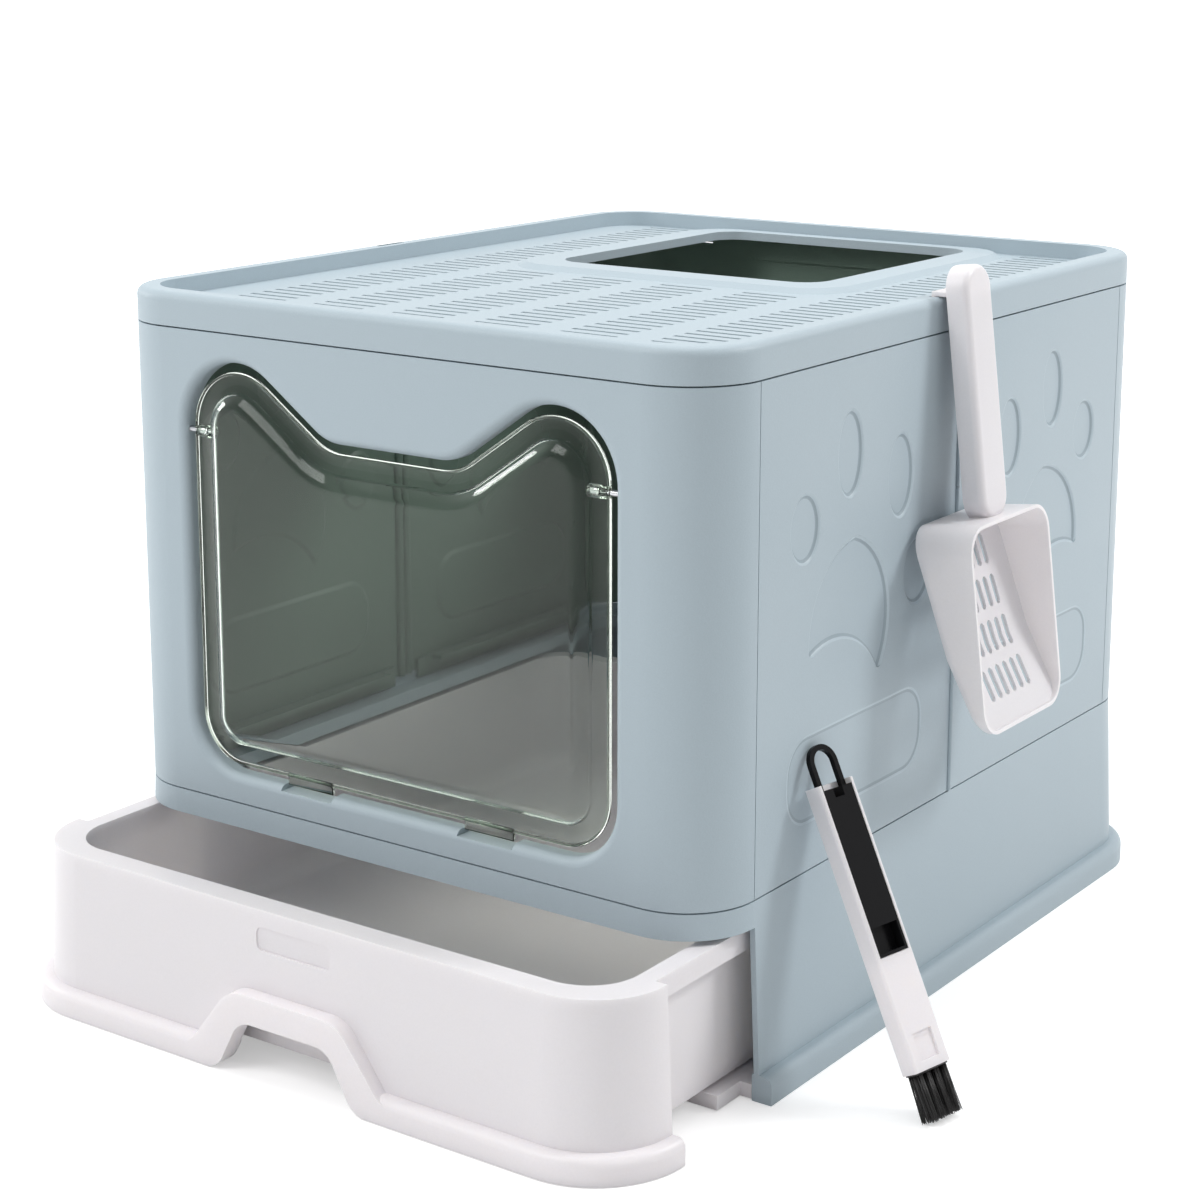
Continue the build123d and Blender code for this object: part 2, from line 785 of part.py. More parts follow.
export_step(lid.part, "parts/lid.step")

# Scoop: hollow-backed handle, tapering basket with a sieve floor, and a hook into the rim slot
lean = radians(scoop_lean)
scoop_plane = Plane(
    (half_width + scoop_stand, scoop_y, lid_top), x_dir=(0, 1, 0), z_dir=(cos(lean), 0, sin(lean))
)
scoop_side = Plane(scoop_plane.origin, x_dir=scoop_plane.y_dir, z_dir=scoop_plane.x_dir)
handle_length = handle_top + handle_drop
handle_middle = (handle_top - handle_drop) / 2
basket_top = -handle_drop + scoop_wall
basket_middle = basket_top - basket_length / 2


def basket_form(inset, rise):
    """Outer or inner form of the scoop basket: a rounded box cut by its bent floor."""
    floor_back = -basket_back + inset
    floor_bend = basket_front - bend_depth + inset
    floor_tip = basket_front - tip_depth + inset
    with BuildPart() as form:
        with BuildSketch(scoop_plane.offset(-basket_back)):
            with Locations((0, basket_middle)):
                RectangleRounded(
                    basket_width - 2 * inset, basket_length - 2 * inset, basket_radius - inset
                )
        extrude(amount=basket_back + basket_front + rise)
        with BuildSketch(scoop_side):
            with BuildLine():
                Polyline(
                    (basket_top, floor_back),
                    (basket_top - basket_bend, floor_bend),
                    (basket_top - basket_length, floor_tip),
                    (basket_top - basket_length, basket_front + rise),
                    (basket_top, basket_front + rise),
                    close=True,
                )
            make_face()
        extrude(amount=basket_width, both=True, mode=Mode.INTERSECT)
    return form.part


basket_outer = basket_form(0, 0)
basket_inner = basket_form(scoop_wall, overrun)
hook_high = lid_top + seam_gap + hook_thickness
hook_reach = half_width + scoop_stand + handle_depth - scoop_wall
with BuildPart() as scoop:
    with BuildSketch(scoop_plane):
        with Locations((0, handle_middle)):
            RectangleRounded(handle_width, handle_length, handle_radius)
    extrude(amount=handle_depth)
    fillet(scoop.edges().group_by(Axis(scoop_plane.origin, scoop_plane.z_dir))[-1], handle_round)
    with BuildSketch(scoop_plane):
        with Locations((0, handle_middle)):
            RectangleRounded(
                handle_width - 2 * scoop_wall, handle_length - 2 * scoop_wall, handle_radius - scoop_wall
            )
    extrude(amount=handle_depth - scoop_wall, mode=Mode.SUBTRACT)
    with Locations(((hang_x + hook_reach) / 2, scoop_y, hook_high - hook_thickness / 2)):
        Box(hook_reach - hang_x, hook_width, hook_thickness)
    with Locations((hang_x, scoop_y, hook_high - (hook_drop + hook_thickness) / 2)):
        Box(hook_thickness, hook_width, hook_drop + hook_thickness)
    add(basket_outer)
    add(basket_inner, mode=Mode.SUBTRACT)
    with BuildSketch(scoop_plane.offset(basket_front)) as sieve:
        with Locations((0, basket_middle)):
            with GridLocations(sieve_pitch, sieve_row_pitch, sieve_columns, sieve_rows):
                Rectangle(sieve_width, sieve_length)
        chamfer(sieve.vertices(), sieve_bevel)
    extrude(amount=-basket_front - basket_back, mode=Mode.SUBTRACT)
scoop.part.label = "scoop"
export_step(scoop.part, "parts/scoop.step")

# Brush: channel handle with a window recess and the pocket for the dustpan
tilt = radians(brush_lean)
turn = radians(brush_turn)
head_low = bristle_length + bristle_slice
head_high = bristle_length + brush_length
pocket_low = head_high - pocket_length
pan_low = pocket_low + pan_clear
pan_high = head_high - pan_inset
pan_back = brush_floor + pan_clear
loop_radius = loop_width / 2
loop_back = pan_back + loop_lift
loop_lean = loop_radius * hypot(sin(tilt) * cos(turn), sin(turn))
loop_rise = (pan_high + loop_reach - loop_radius) * sin(tilt) * cos(turn)
loop_stand = half_width + brush_wall_clear
brush_foot = loop_stand + loop_rise + loop_lean - loop_back * cos(tilt) * cos(turn)
brush_plane = Plane(
    (brush_foot, brush_y, -brush_sink),
    x_dir=(sin(turn), cos(turn), 0),
    z_dir=(cos(tilt) * cos(turn), -cos(tilt) * sin(turn), sin(tilt)),
)
with BuildPart() as brush_handle:
    with BuildSketch(brush_plane):
        with Locations((0, (head_low + head_high) / 2)):
            Rectangle(brush_width, head_high - head_low)
    extrude(amount=brush_thickness)
    fillet(brush_handle.edges().filter_by(Axis(brush_plane.origin, brush_plane.y_dir)), brush_round)
    with BuildSketch(brush_plane.offset(brush_floor)):
        with Locations((0, pocket_low + (pocket_length + overrun) / 2)):
            Rectangle(brush_width - 2 * brush_rim, pocket_length + overrun)
    extrude(amount=brush_thickness, mode=Mode.SUBTRACT)
    with BuildSketch(brush_plane.offset(brush_thickness)):
        with Locations((0, bristle_length + window_place)):
            Rectangle(window_size, window_size)
    extrude(amount=-window_depth, mode=Mode.SUBTRACT)
brush_handle.part.label = "brush_handle"
export_step(brush_handle.part, "parts/brush_handle.step")

# Dustpan: a shallow black tray that slides up out of the brush, with a hanging loop
pan_width = brush_width - 2 * brush_rim - 2 * pan_clear
pan_front = brush_thickness - pan_clear
with BuildPart() as brush_dustpan:
    with BuildSketch(brush_plane.offset(pan_back)):
        with Locations((0, (pan_low + pan_high) / 2)):
            Rectangle(pan_width, pan_high - pan_low)
        with Locations((0, pan_high)):
            Rectangle(pan_notch_width, 2 * pan_notch_length, mode=Mode.SUBTRACT)
    extrude(amount=pan_front - pan_back)
    with BuildSketch(brush_plane.offset(pan_front)):
        with Locations((0, pan_low + pan_mouth / 2)):
            Rectangle(pan_width - 2 * pan_mouth_floor, pan_mouth - 2 * pan_mouth_floor)
    extrude(amount=-(pan_front - pan_back - pan_mouth_floor), mode=Mode.SUBTRACT)
    with BuildSketch(brush_plane.offset(loop_back)):
        with Locations((0, pan_high)):
            SlotOverall(2 * loop_reach, loop_width, rotation=90)
            SlotOverall(
                2 * (loop_reach - loop_bar), loop_width - 2 * loop_bar, rotation=90, mode=Mode.SUBTRACT
            )
        with Locations((0, pan_high - loop_reach)):
            Rectangle(2 * loop_width, 2 * (loop_reach - pan_notch_length), mode=Mode.SUBTRACT)
    extrude(amount=loop_bar)
brush_dustpan.part.label = "brush_dustpan"
export_step(brush_dustpan.part, "parts/brush_dustpan.step")

# Bristles: four tufts of strands on a thin slice of the brush head
strand_root = Plane(
    brush_plane.from_local_coords((0, bristle_length, brush_thickness / 2)),
    x_dir=brush_plane.x_dir,
    z_dir=-brush_plane.y_dir,
)
with BuildPart() as brush_bristles:
    with BuildSketch(strand_root.offset(-bristle_slice)):
        Rectangle(brush_width - 2 * brush_round, brush_thickness - 2 * brush_round)
    extrude(amount=bristle_slice)
    with BuildSketch(strand_root):
        with GridLocations(tuft_pitch, 0, tuft_count, 1):
            with GridLocations(strand_pitch, strand_pitch, tuft_columns, tuft_rows):
                RegularPolygon(strand_radius, strand_sides)
    extrude(amount=bristle_length)
brush_bristles.part.label = "brush_bristles"
export_step(brush_bristles.part, "parts/brush_bristles.step")
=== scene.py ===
from math import cos, radians, sin, tan
from random import Random

import bmesh
import bpy
from mathutils import Matrix, Vector


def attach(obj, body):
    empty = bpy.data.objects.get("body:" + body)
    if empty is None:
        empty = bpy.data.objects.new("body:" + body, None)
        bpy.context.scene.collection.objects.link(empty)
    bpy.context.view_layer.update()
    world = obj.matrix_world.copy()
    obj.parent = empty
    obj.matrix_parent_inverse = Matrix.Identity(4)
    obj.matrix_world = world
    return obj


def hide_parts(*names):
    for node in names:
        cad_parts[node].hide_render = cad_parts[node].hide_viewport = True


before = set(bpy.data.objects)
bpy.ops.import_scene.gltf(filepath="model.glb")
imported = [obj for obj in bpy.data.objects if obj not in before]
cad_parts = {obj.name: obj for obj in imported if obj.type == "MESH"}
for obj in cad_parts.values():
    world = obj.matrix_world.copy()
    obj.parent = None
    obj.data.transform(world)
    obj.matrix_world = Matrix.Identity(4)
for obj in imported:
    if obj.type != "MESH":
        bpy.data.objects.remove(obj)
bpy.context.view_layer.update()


# Base skirt: a flared moulded band in pale blue plastic with a rounded foot rim, standing on the
# floor. The same tint and fine spark-eroded grain run through the walls and the lid above it.
def add_node(tree, kind, **settings):
    """A node in a tree, with its properties set by name."""
    node = tree.nodes.new(kind)
    for name, value in settings.items():
        setattr(node, name, value)
    return node


def grain_group():
    """Moulded grain: a colour that drifts slightly, an uneven gloss and a fine height."""
    group = bpy.data.node_groups.new("moulded_grain", "ShaderNodeTree")
    for name, kind in (
        ("Colour", "NodeSocketColor"),
        ("Drift", "NodeSocketFloat"),
        ("Gloss Low", "NodeSocketFloat"),
        ("Gloss High", "NodeSocketFloat"),
        ("Grain Scale", "NodeSocketFloat"),
    ):
        group.interface.new_socket(name=name, in_out="INPUT", socket_type=kind)
    for name, kind in (
        ("Colour", "NodeSocketColor"),
        ("Roughness", "NodeSocketFloat"),
        ("Height", "NodeSocketFloat"),
    ):
        group.interface.new_socket(name=name, in_out="OUTPUT", socket_type=kind)
    links = group.links
    enter = add_node(group, "NodeGroupInput")
    leave = add_node(group, "NodeGroupOutput")
    place = add_node(group, "ShaderNodeTexCoord")
    cloud = add_node(group, "ShaderNodeTexNoise")
    cloud.inputs["Scale"].default_value = 7.0
    cloud.inputs["Detail"].default_value = 3.0
    speck = add_node(group, "ShaderNodeTexNoise")
    speck.inputs["Detail"].default_value = 2.0
    links.new(place.outputs["Object"], cloud.inputs["Vector"])
    links.new(place.outputs["Object"], speck.inputs["Vector"])
    links.new(enter.outputs["Grain Scale"], speck.inputs["Scale"])

    # Half the cloud and the whole speck add up to 0.75 on average, where the drift leaves the colour be.
    cloud_share, middle_shade = 0.5, 0.75
    shade = add_node(group, "ShaderNodeMath", operation="MULTIPLY_ADD")
    shade.inputs[1].default_value = cloud_share
    base_tone = add_node(group, "ShaderNodeMath", operation="MULTIPLY_ADD")
    base_tone.inputs[1].default_value = -middle_shade
    base_tone.inputs[2].default_value = 1.0
    tone = add_node(group, "ShaderNodeMath", operation="MULTIPLY_ADD")
    tint = add_node(group, "ShaderNodeHueSaturation")
    links.new(cloud.outputs["Fac"], shade.inputs[0])
    links.new(speck.outputs["Fac"], shade.inputs[2])
    links.new(enter.outputs["Drift"], base_tone.inputs[0])
    links.new(shade.outputs[0], tone.inputs[0])
    links.new(enter.outputs["Drift"], tone.inputs[1])
    links.new(base_tone.outputs[0], tone.inputs[2])
    links.new(enter.outputs["Colour"], tint.inputs["Color"])
    links.new(tone.outputs[0], tint.inputs["Value"])

    gloss = add_node(group, "ShaderNodeMapRange")
    gloss.inputs["From Min"].default_value = 0.35
    gloss.inputs["From Max"].default_value = 0.65
    links.new(cloud.outputs["Fac"], gloss.inputs["Value"])
    links.new(enter.outputs["Gloss Low"], gloss.inputs["To Min"])
    links.new(enter.outputs["Gloss High"], gloss.inputs["To Max"])
    links.new(tint.outputs["Color"], leave.inputs["Colour"])
    links.new(gloss.outputs["Result"], leave.inputs["Roughness"])
    links.new(speck.outputs["Fac"], leave.inputs["Height"])
    return group


moulded_grain = grain_group()


def surface_of(material):
    """The Principled shader of a material."""
    return material.node_tree.nodes["Principled BSDF"]


def moulded_plastic(name, colour, drift, gloss, scale, depth):
    """A plastic with moulded grain: colour drift, gloss range, grains per metre and their depth."""
    material = bpy.data.materials.new(name)
    material.use_nodes = True
    tree = material.node_tree
    surface = surface_of(material)
    grain = add_node(tree, "ShaderNodeGroup", node_tree=moulded_grain)
    grain.inputs["Colour"].default_value = (*colour, 1)
    grain.inputs["Drift"].default_value = drift
    grain.inputs["Gloss Low"].default_value = gloss[0]
    grain.inputs["Gloss High"].default_value = gloss[1]
    grain.inputs["Grain Scale"].default_value = scale
    bump = add_node(tree, "ShaderNodeBump")
    bump.inputs["Strength"].default_value = 0.6
    bump.inputs["Distance"].default_value = depth
    tree.links.new(grain.outputs["Colour"], surface.inputs["Base Color"])
    tree.links.new(grain.outputs["Roughness"], surface.inputs["Roughness"])
    tree.links.new(grain.outputs["Height"], bump.inputs["Height"])
    tree.links.new(bump.outputs["Normal"], surface.inputs["Normal"])
    surface.inputs["IOR"].default_value = 1.49
    surface.inputs["Specular IOR Level"].default_value = 0.4
    return material


def blue_plastic(name, colour, gloss):
    """The grained blue plastic of the box, in one of its tones."""
    return moulded_plastic(name, colour, drift=0.10, gloss=gloss, scale=1300, depth=0.00012)


def paint(material, *names):
    """Gives CAD nodes a finish."""
    for name in names:
        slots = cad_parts[name].data.materials
        slots.clear()
        slots.append(material)


pale_blue = (0.437, 0.522, 0.573)
blue_gloss = (0.42, 0.52)
shell_blue = blue_plastic("shell_blue", pale_blue, blue_gloss)
paint(shell_blue, "base_frame")


# Floor frame and drawer: smooth white plastic with a satin face that lets a little light in. The
# frame ties the base sides together, and the drawer runs on it with its fascia, grip and tray in
# one moulding.
satin_white = moulded_plastic(
    "satin_white", (0.90, 0.86, 0.88), drift=0.05, gloss=(0.30, 0.40), scale=900, depth=0.00004
)
white_face = surface_of(satin_white)
white_face.inputs["Subsurface Weight"].default_value = 0.35
white_face.inputs["Subsurface Radius"].default_value = (1.0, 0.92, 0.82)
white_face.inputs["Subsurface Scale"].default_value = 0.012
paint(satin_white, "floor_frame", "drawer")


# Wall panels: back and front panels that wrap the corners, and four half side walls between them.
# All are the base's blue plastic, joined by hinges so that the ring folds flat. The back and side
# walls have a painted shade, a deeper, greener tone, on the faces that look into the box.
outer_face, end_face = 0.2050, 0.2530
corner_round = 0.042
# Where the painted shade on the inner faces starts and where it is full, measured in from the outer face.
inner_shade_start, inner_shade_full = 0.0025, 0.0032
# No height reaches this far, so only the distance in from the walls counts.
beyond_height = 1.0


def paint_inside_shade(material, colour):
    """Mixes in a painted shade colour on the faces that lie deeper than the walls' outer face, corners
    included.
    """
    tree = material.node_tree
    surface = surface_of(material)
    outer = surface.inputs["Base Color"].links[0].from_socket
    place = add_node(tree, "ShaderNodeTexCoord")
    apart = add_node(tree, "ShaderNodeVectorMath", operation="ABSOLUTE")
    past = add_node(tree, "ShaderNodeVectorMath", operation="SUBTRACT")
    past.inputs[1].default_value = (outer_face - corner_round, end_face - corner_round, beyond_height)
    kept = add_node(tree, "ShaderNodeVectorMath", operation="MAXIMUM")
    reach = add_node(tree, "ShaderNodeVectorMath", operation="LENGTH")
    depth = add_node(tree, "ShaderNodeMapRange")
    depth.inputs["From Min"].default_value = corner_round - inner_shade_start
    depth.inputs["From Max"].default_value = corner_round - inner_shade_full
    mix = add_node(tree, "ShaderNodeMix", data_type="RGBA")
    mix.inputs["B"].default_value = (*colour, 1)
    tree.links.new(place.outputs["Object"], apart.inputs[0])
    tree.links.new(apart.outputs["Vector"], past.inputs[0])
    tree.links.new(past.outputs["Vector"], kept.inputs[0])
    tree.links.new(kept.outputs["Vector"], reach.inputs[0])
    tree.links.new(reach.outputs["Value"], depth.inputs["Value"])
    tree.links.new(depth.outputs["Result"], mix.inputs["Factor"])
    tree.links.new(outer, mix.inputs["A"])
    tree.links.new(mix.outputs["Result"], surface.inputs["Base Color"])


wall_blue_shaded_inside = blue_plastic("wall_blue_shaded_inside", pale_blue, blue_gloss)
# Painted shade: the faces inside the walls take a darker, greener blue.
paint_inside_shade(wall_blue_shaded_inside, (0.145, 0.205, 0.168))
paint(shell_blue, "front_panel")
paint(wall_blue_shaded_inside, "back_panel", "front_left_side", "front_right_side", "rear_left_side", "rear_right_side")


# Paw and pill pressed into the side walls: shallow dishes with rolled edges on the outer face, which
# stand proud on the inner face, moulded in one with each half wall. The upper half of the rolled
# edge has a painted highlight, a lighter tone, and the lower half has a painted shade, a darker one.
inner_face = 0.2015
half_length = 0.210
wall_foot, wall_rise = 0.110, 0.271
pill_half = (0.0725, 0.0245)
pill_share = (0.488, 0.19)
pill_round, pill_steps = 0.020, 8
toe_sides = 40
toe_shares = (
    (0.214, 0.690, 0.143, 0.140),
    (0.429, 0.808, 0.129, 0.177),
    (0.690, 0.731, 0.138, 0.177),
    (0.790, 0.520, 0.157, 0.144),
)
pad_steps = 16
pad_shares = ((0.290, 0.570), (0.467, 0.642), (0.614, 0.550), (0.590, 0.340), (0.420, 0.440), (0.240, 0.425))
pad_weld = 0.00001
pill_depth, paw_depth, relief_height = 0.00066, 0.00175, 0.0016
rolled_edge = ((0.0006, 0.12), (0.0008, 0.38), (0.0008, 0.38), (0.0008, 0.12))
# The rolled edge's outer two bands take a lighter blue as painted highlight, and its inner two bands a
# darker blue as painted shade.
one_tone, painted_highlight_and_shade = (0, 0, 0, 0), (1, 1, 2, 2)
painted_highlight_blue = blue_plastic("painted_highlight_blue", (0.508, 0.602, 0.658), (0.36, 0.46))
painted_shade_blue = blue_plastic("painted_shade_blue", (0.343, 0.418, 0.465), blue_gloss)


def sweep_arc(mesh, start, through, stop, steps):
    """Edges along the arc from a vertex through one point to another, and the vertex at its end."""
    near, far = through - start.co, stop - start.co
    normal = near.cross(far)
    toward = near.length_squared * far.cross(normal) + far.length_squared * normal.cross(near)
    centre = start.co + toward / (2 * normal.length_squared)
    first = (start.co - centre).angle(through - centre)
    second = (through - centre).angle(stop - centre)
    swept = bmesh.ops.spin(
        mesh, geom=[start], cent=centre, axis=normal, angle=first + second, steps=steps, use_merge=False
    )
    return next(item for item in swept["geom_last"] if isinstance(item, bmesh.types.BMVert))


def paw_and_pill(face_x, side, end):
    """Flat outlines of a half wall's paw and pill on one of its faces, looking out of the wall."""
    mesh = bmesh.new()

    def on_wall(along, up):
        return Vector((side * face_x, end * half_length * (1 - along), wall_foot + up * wall_rise))

    corners = [
        mesh.verts.new(on_wall(*pill_share) + Vector((0, across * pill_half[0], up * pill_half[1])))
        for across, up in ((-1, -1), (1, -1), (1, 1), (-1, 1))
    ]
    mesh.faces.new(corners)
    for corner in corners:
        bmesh.ops.bevel(
            mesh,
            geom=[corner],
            offset=pill_round,
            affect="VERTICES",
            segments=pill_steps,
            profile=0.5,
            material=-1,
        )
    for along, up, length, height in toe_shares:
        place = Matrix.Translation(on_wall(along, up)) @ Matrix.Rotation(radians(90), 4, "Y")
        stretch = Matrix.Diagonal((height * wall_rise / 2, length * half_length / 2, 1, 1))
        bmesh.ops.create_circle(mesh, cap_ends=True, segments=toe_sides, radius=1, matrix=place @ stretch)
    points = [on_wall(*share) for share in pad_shares]
    tip = mesh.verts.new(points[-1])
    for place in (0, 2, 4):
        tip = sweep_arc(mesh, tip, points[place], points[place + 1], pad_steps)
    bmesh.ops.remove_doubles(mesh, verts=mesh.verts[:], dist=pad_weld)
    bmesh.ops.contextual_create(mesh, geom=[edge for edge in mesh.edges if not edge.link_faces])
    bmesh.ops.reverse_faces(mesh, faces=[face for face in mesh.faces if face.normal.x * side < 0])
    return mesh


def roll_edges(mesh, faces, depth, tones):
    """Steps faces up or down inside a rolled edge, whose bands take the tones given by slot; on the dishes
    these are a painted highlight and a painted shade.
    """
    for (inset, share), tone in zip(rolled_edge, tones):
        band = bmesh.ops.inset_individual(
            mesh, faces=faces, thickness=inset, depth=depth * share, use_even_offset=True
        )
        for face in band["faces"]:
            face.material_index = tone


def smooth_bands(mesh):
    """Shades the four-sided bands of a mesh smooth and leaves its flat middles flat."""
    for face in mesh.faces:
        face.smooth = len(face.verts) == 4


def link_mesh(name, mesh, material):
    """An object at the origin from a bmesh, with its finish."""
    data = bpy.data.meshes.new(name)
    mesh.to_mesh(data)
    mesh.free()
    data.materials.append(material)
    item = bpy.data.objects.new(name, data)
    bpy.context.scene.collection.objects.link(item)
    return item


def make_piece(name, mesh, material, body):
    """A finished piece from a bmesh, riding on a body."""
    piece = link_mesh(name, mesh, material)
    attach(piece, body)
    return piece


for end_name, end in (("front", -1), ("rear", 1)):
    for side_name, side in (("left", -1), ("right", 1)):
        wall_name = f"{end_name}_{side_name}"
        dish = paw_and_pill(outer_face, side, end)
        pill, paw = dish.faces[:1], dish.faces[1:]
        roll_edges(dish, pill, -pill_depth, painted_highlight_and_shade)
        roll_edges(dish, paw, -paw_depth, painted_highlight_and_shade)
        smooth_bands(dish)
        pressed = make_piece(f"{wall_name}_dish", dish, shell_blue, f"{wall_name}_wall")
        pressed.data.materials.append(painted_highlight_blue)
        pressed.data.materials.append(painted_shade_blue)
        relief = paw_and_pill(inner_face, side, end)
        bmesh.ops.reverse_faces(relief, faces=relief.faces[:])
        roll_edges(relief, relief.faces[:], relief_height, one_tone)
        smooth_bands(relief)
        make_piece(f"{wall_name}_relief", relief, wall_blue_shaded_inside, f"{wall_name}_wall")


# Hinge pins: drawn steel wire, pushed through the knuckles of the six wall hinges. Two stubs of the
# same wire carry the door.
pin_steel = moulded_plastic(
    "pin_steel", (0.50, 0.51, 0.53), drift=0.12, gloss=(0.22, 0.34), scale=2200, depth=0.00003
)
surface_of(pin_steel).inputs["Metallic"].default_value = 1.0
paint(pin_steel, "front_left_pin", "front_right_pin", "mid_left_pin", "mid_right_pin")
paint(pin_steel, "rear_left_pin", "rear_right_pin", "door_pins")


# Door flap: one clear moulding that fills the doorway up into its two ears, with a beaded edge, a
# flat border, a stepped ridge, a pillowed middle and two stop tabs, hung on stub pins in its bosses.
door_half = 0.147
door_low, door_valley, door_peak = 0.127, 0.327, 0.3994
valley_half = 0.0436
flap_gap = 0.0050
flap_y = -0.2485
flap_wall = 0.0020
corner_steps = 20
door_corners = (
    (-door_half, door_low, 0.034),
    (door_half, door_low, 0.034),
    (door_half, door_peak, 0.0384),
    (valley_half, door_valley, 0.030),
    (-valley_half, door_valley, 0.030),
    (-door_half, door_peak, 0.0384),
)
flap_points = [Vector((x, flap_y, z)) for x, z, radius in door_corners]
flap = bmesh.new()
arc_ends = []
for place, (x, z, radius) in enumerate(door_corners):
    corner = flap_points[place]
    back = (flap_points[place - 1] - corner).normalized()
    onward = (flap_points[(place + 1) % len(flap_points)] - corner).normalized()
    half_angle = back.angle(onward) / 2
    cut = radius / tan(half_angle)
    halfway = corner + (back + onward).normalized() * (radius / sin(half_angle) - radius)
    start = flap.verts.new(corner + back * cut)
    arc_ends += [start, sweep_arc(flap, start, halfway, corner + onward * cut, corner_steps)]
for place in range(1, len(arc_ends), 2):
    flap.edges.new((arc_ends[place], arc_ends[(place + 1) % len(arc_ends)]))
bmesh.ops.contextual_create(flap, geom=flap.edges[:])
bmesh.ops.reverse_faces(flap, faces=[face for face in flap.faces if face.normal.y > 0])
outside = bmesh.ops.inset_individual(flap, faces=flap.faces[:], thickness=flap_gap, use_even_offset=True)
bmesh.ops.delete(flap, geom=outside["faces"], context="FACES")

# Each step is how far it goes in from the edge and how far it rises or falls.
bead_up = ((0.0003, 0.0009), (0.0003, 0.0002))
bead_down = ((0.0008, 0.0), (0.0003, -0.0002), (0.0003, -0.0009))
border = ((0.0003, 0.0), (0.0092, 0.0))
ridge = ((0.0002, 0.0001), (0.0004, 0.0012), (0.0004, 0.0005))
pillow_flank = ((0.0012, 0.0012), (0.0016, 0.0013), (0.0016, 0.0011), (0.0016, 0.0007))
pillow_crown = ((0.0014, 0.0003), (0.0012, 0.0001), (0.0010, 0.0))
middle = flap.faces[:]
for inset, rise in bead_up + bead_down + border + ridge + pillow_flank + pillow_crown:
    bmesh.ops.inset_individual(flap, faces=middle, thickness=inset, depth=rise, use_even_offset=True)
bmesh.ops.solidify(flap, geom=flap.faces[:], thickness=flap_wall)
bmesh.ops.recalc_face_normals(flap, faces=flap.faces[:])

tab_middle, tab_drop = 0.063, 0.0015
tab_length, tab_height, tab_round = 0.033, 0.007, 0.0005
for x in (-tab_middle, tab_middle):
    place = Matrix.Translation((x, flap_y + flap_wall / 2, door_low + flap_gap - tab_drop))
    stretch = Matrix.Diagonal((tab_length, flap_wall, tab_height, 1))
    tab = bmesh.ops.create_cube(flap, size=1, matrix=place @ stretch)
    edges = list(dict.fromkeys(edge for vert in tab["verts"] for edge in vert.link_edges))
    bmesh.ops.bevel(
        flap, geom=edges, offset=tab_round, affect="EDGES", segments=2, profile=0.5, material=-1
    )

boss_axis = Vector((0, -0.2475, 0.323))
boss_inner, boss_outer = 0.1286, 0.1395
bore_radius, boss_radius = 0.0017, 0.0036
boss_steps = 28
boss_profile = (
    (boss_inner, bore_radius),
    (boss_inner, boss_radius),
    (boss_outer, boss_radius),
    (boss_outer, bore_radius),
)
flap_weld = 0.000001
for side in (-1, 1):
    outline = [
        flap.verts.new(boss_axis + Vector((side * along, 0, radius))) for along, radius in boss_profile
    ]
    ring = [flap.edges.new((outline[place - 1], outline[place])) for place in range(len(outline))]
    bmesh.ops.spin(
        flap,
        geom=outline + ring,
        cent=boss_axis,
        axis=(1, 0, 0),
        angle=radians(360),
        steps=boss_steps,
        use_merge=True,
    )
bmesh.ops.remove_doubles(flap, verts=flap.verts[:], dist=flap_weld)
bmesh.ops.recalc_face_normals(flap, faces=flap.faces[:])
smooth_bands(flap)


def clear_plastic():
    """Clear polished plastic, faintly scuffed, that lets the light of the lamps through."""
    material = bpy.data.materials.new("clear_plastic")
    material.use_nodes = True
    tree = material.node_tree
    surface = surface_of(material)
    leave = tree.nodes["Material Output"]
    surface.inputs["Base Color"].default_value = (0.86, 0.92, 0.86, 1)
    surface.inputs["Transmission Weight"].default_value = 1.0
    surface.inputs["Specular Tint"].default_value = (0.25, 0.25, 0.25, 1)
    surface.inputs["IOR"].default_value = 1.49
    place = add_node(tree, "ShaderNodeTexCoord")
    scuff = add_node(tree, "ShaderNodeTexNoise")
    scuff.inputs["Scale"].default_value = 24.0
    scuff.inputs["Detail"].default_value = 6.0
    gloss = add_node(tree, "ShaderNodeMapRange")
    gloss.inputs["From Min"].default_value = 0.45
    gloss.inputs["From Max"].default_value = 0.80
    gloss.inputs["To Min"].default_value = 0.015
    gloss.inputs["To Max"].default_value = 0.09
    tree.links.new(place.outputs["Object"], scuff.inputs["Vector"])
    tree.links.new(scuff.outputs["Fac"], gloss.inputs["Value"])
    tree.links.new(gloss.outputs["Result"], surface.inputs["Roughness"])
    ray = add_node(tree, "ShaderNodeLightPath")
    through = add_node(tree, "ShaderNodeBsdfTransparent")
    through.inputs["Color"].default_value = (0.92, 0.91, 0.86, 1)
    pick = add_node(tree, "ShaderNodeMixShader")
    tree.links.new(ray.outputs["Is Shadow Ray"], pick.inputs["Fac"])
    tree.links.new(surface.outputs["BSDF"], pick.inputs[1])
    tree.links.new(through.outputs["BSDF"], pick.inputs[2])
    tree.links.new(pick.outputs["Shader"], leave.inputs["Surface"])
    return material


door = make_piece("clear_door", flap, clear_plastic(), "door")
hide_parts("door_flap")


# Lid: a hollow-rimmed tray of the same blue plastic, slotted for air, with the raised border of
# the top entry. It laps over the rails of the walls.
paint(shell_blue, "lid")


# Scoop: a sieve scoop of the drawer's satin white plastic, with its handle and hook in one moulding.
# It hangs by the hook in the slot of the lid's rim.
paint(satin_white, "scoop")


